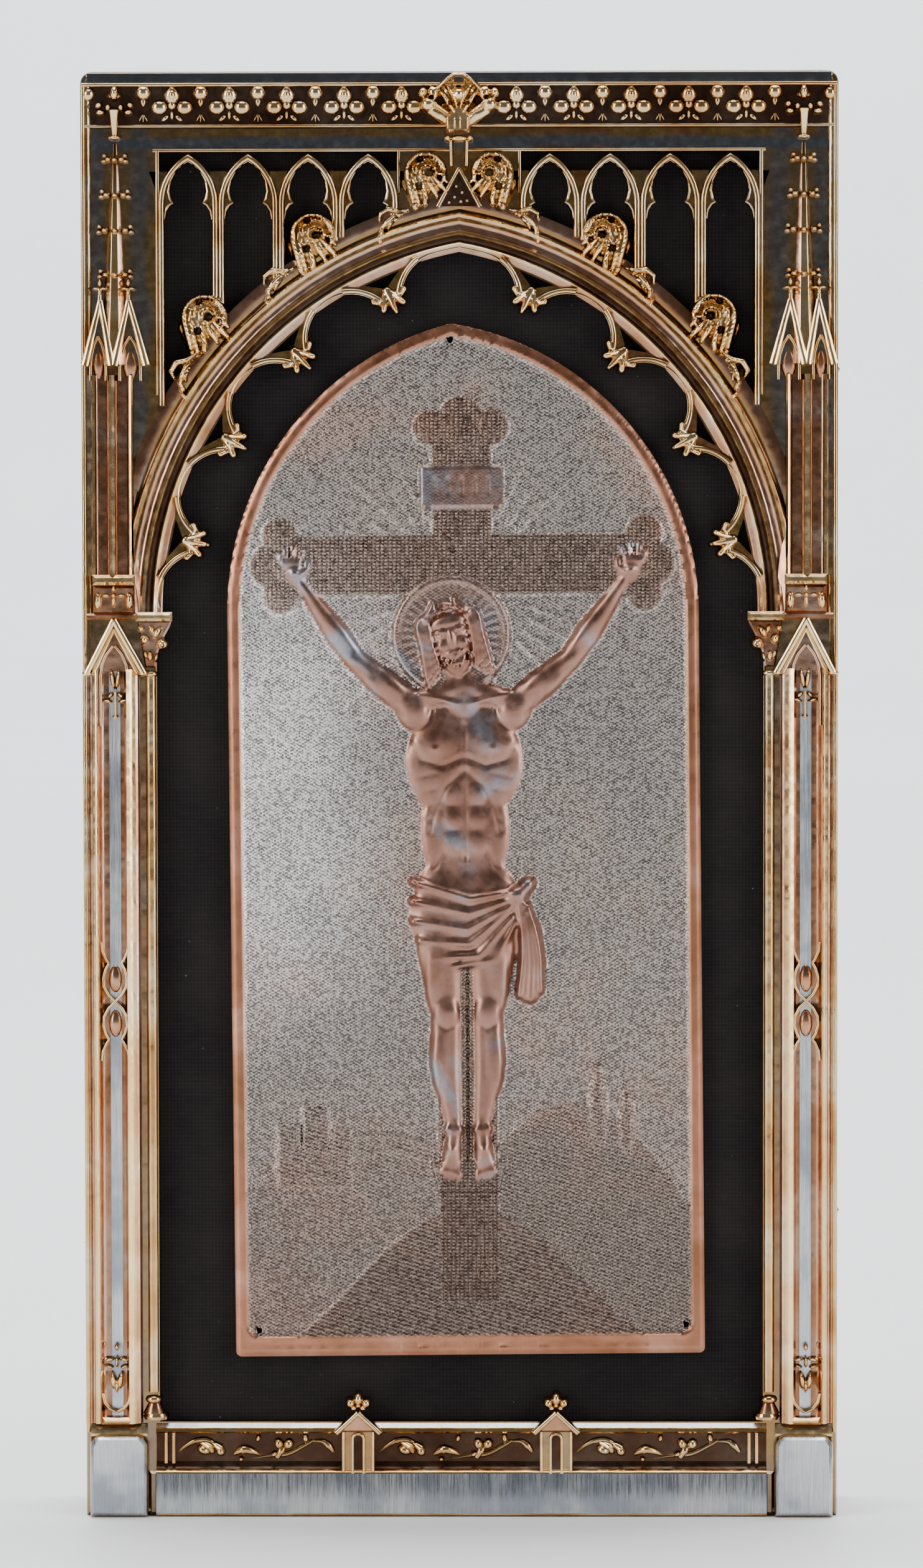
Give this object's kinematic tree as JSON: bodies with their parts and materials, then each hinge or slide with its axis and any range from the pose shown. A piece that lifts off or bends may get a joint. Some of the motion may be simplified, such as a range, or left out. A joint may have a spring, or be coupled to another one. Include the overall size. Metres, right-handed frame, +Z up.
{
  "type": "religious plaque",
  "caption": "Small standing Gothic-revival frame of pressed metal with cusped arch and lancet openwork over dark cloth, holding a pointed copper relief plaque of a crucifix.",
  "frame": {"origin": "middle of the underside that the frame stands on", "axes": "+Z up along the height, +X to the viewer's right, the relief front faces -Y"},
  "size_m": [0.085, 0.015, 0.161],
  "materials": {
    "pressed_metal": "silvered and gilt pressed sheet, polished high points, gold-brown and blue-grey tarnish in the hollows, brushed on the plinth",
    "relief_copper": "silvered copper, satin, pink copper showing on the border and the figure, fine engraved hatching",
    "backing_cloth": "near-black plain weave, matte",
    "back_wood": "dark stained softwood, dull",
    "nail_metal": "small domed heads, tarnished"
  },
  "bodies": {
    "root": {"frame_shell": "pressed_metal", "relief_plaque": "relief_copper", "backing_cloth": "backing_cloth", "back_board": "back_wood", "side_nail_left_upper": "nail_metal", "side_nail_left_lower": "nail_metal", "side_nail_right_upper": "nail_metal", "side_nail_right_lower": "nail_metal"}
  },
  "joints": []
}
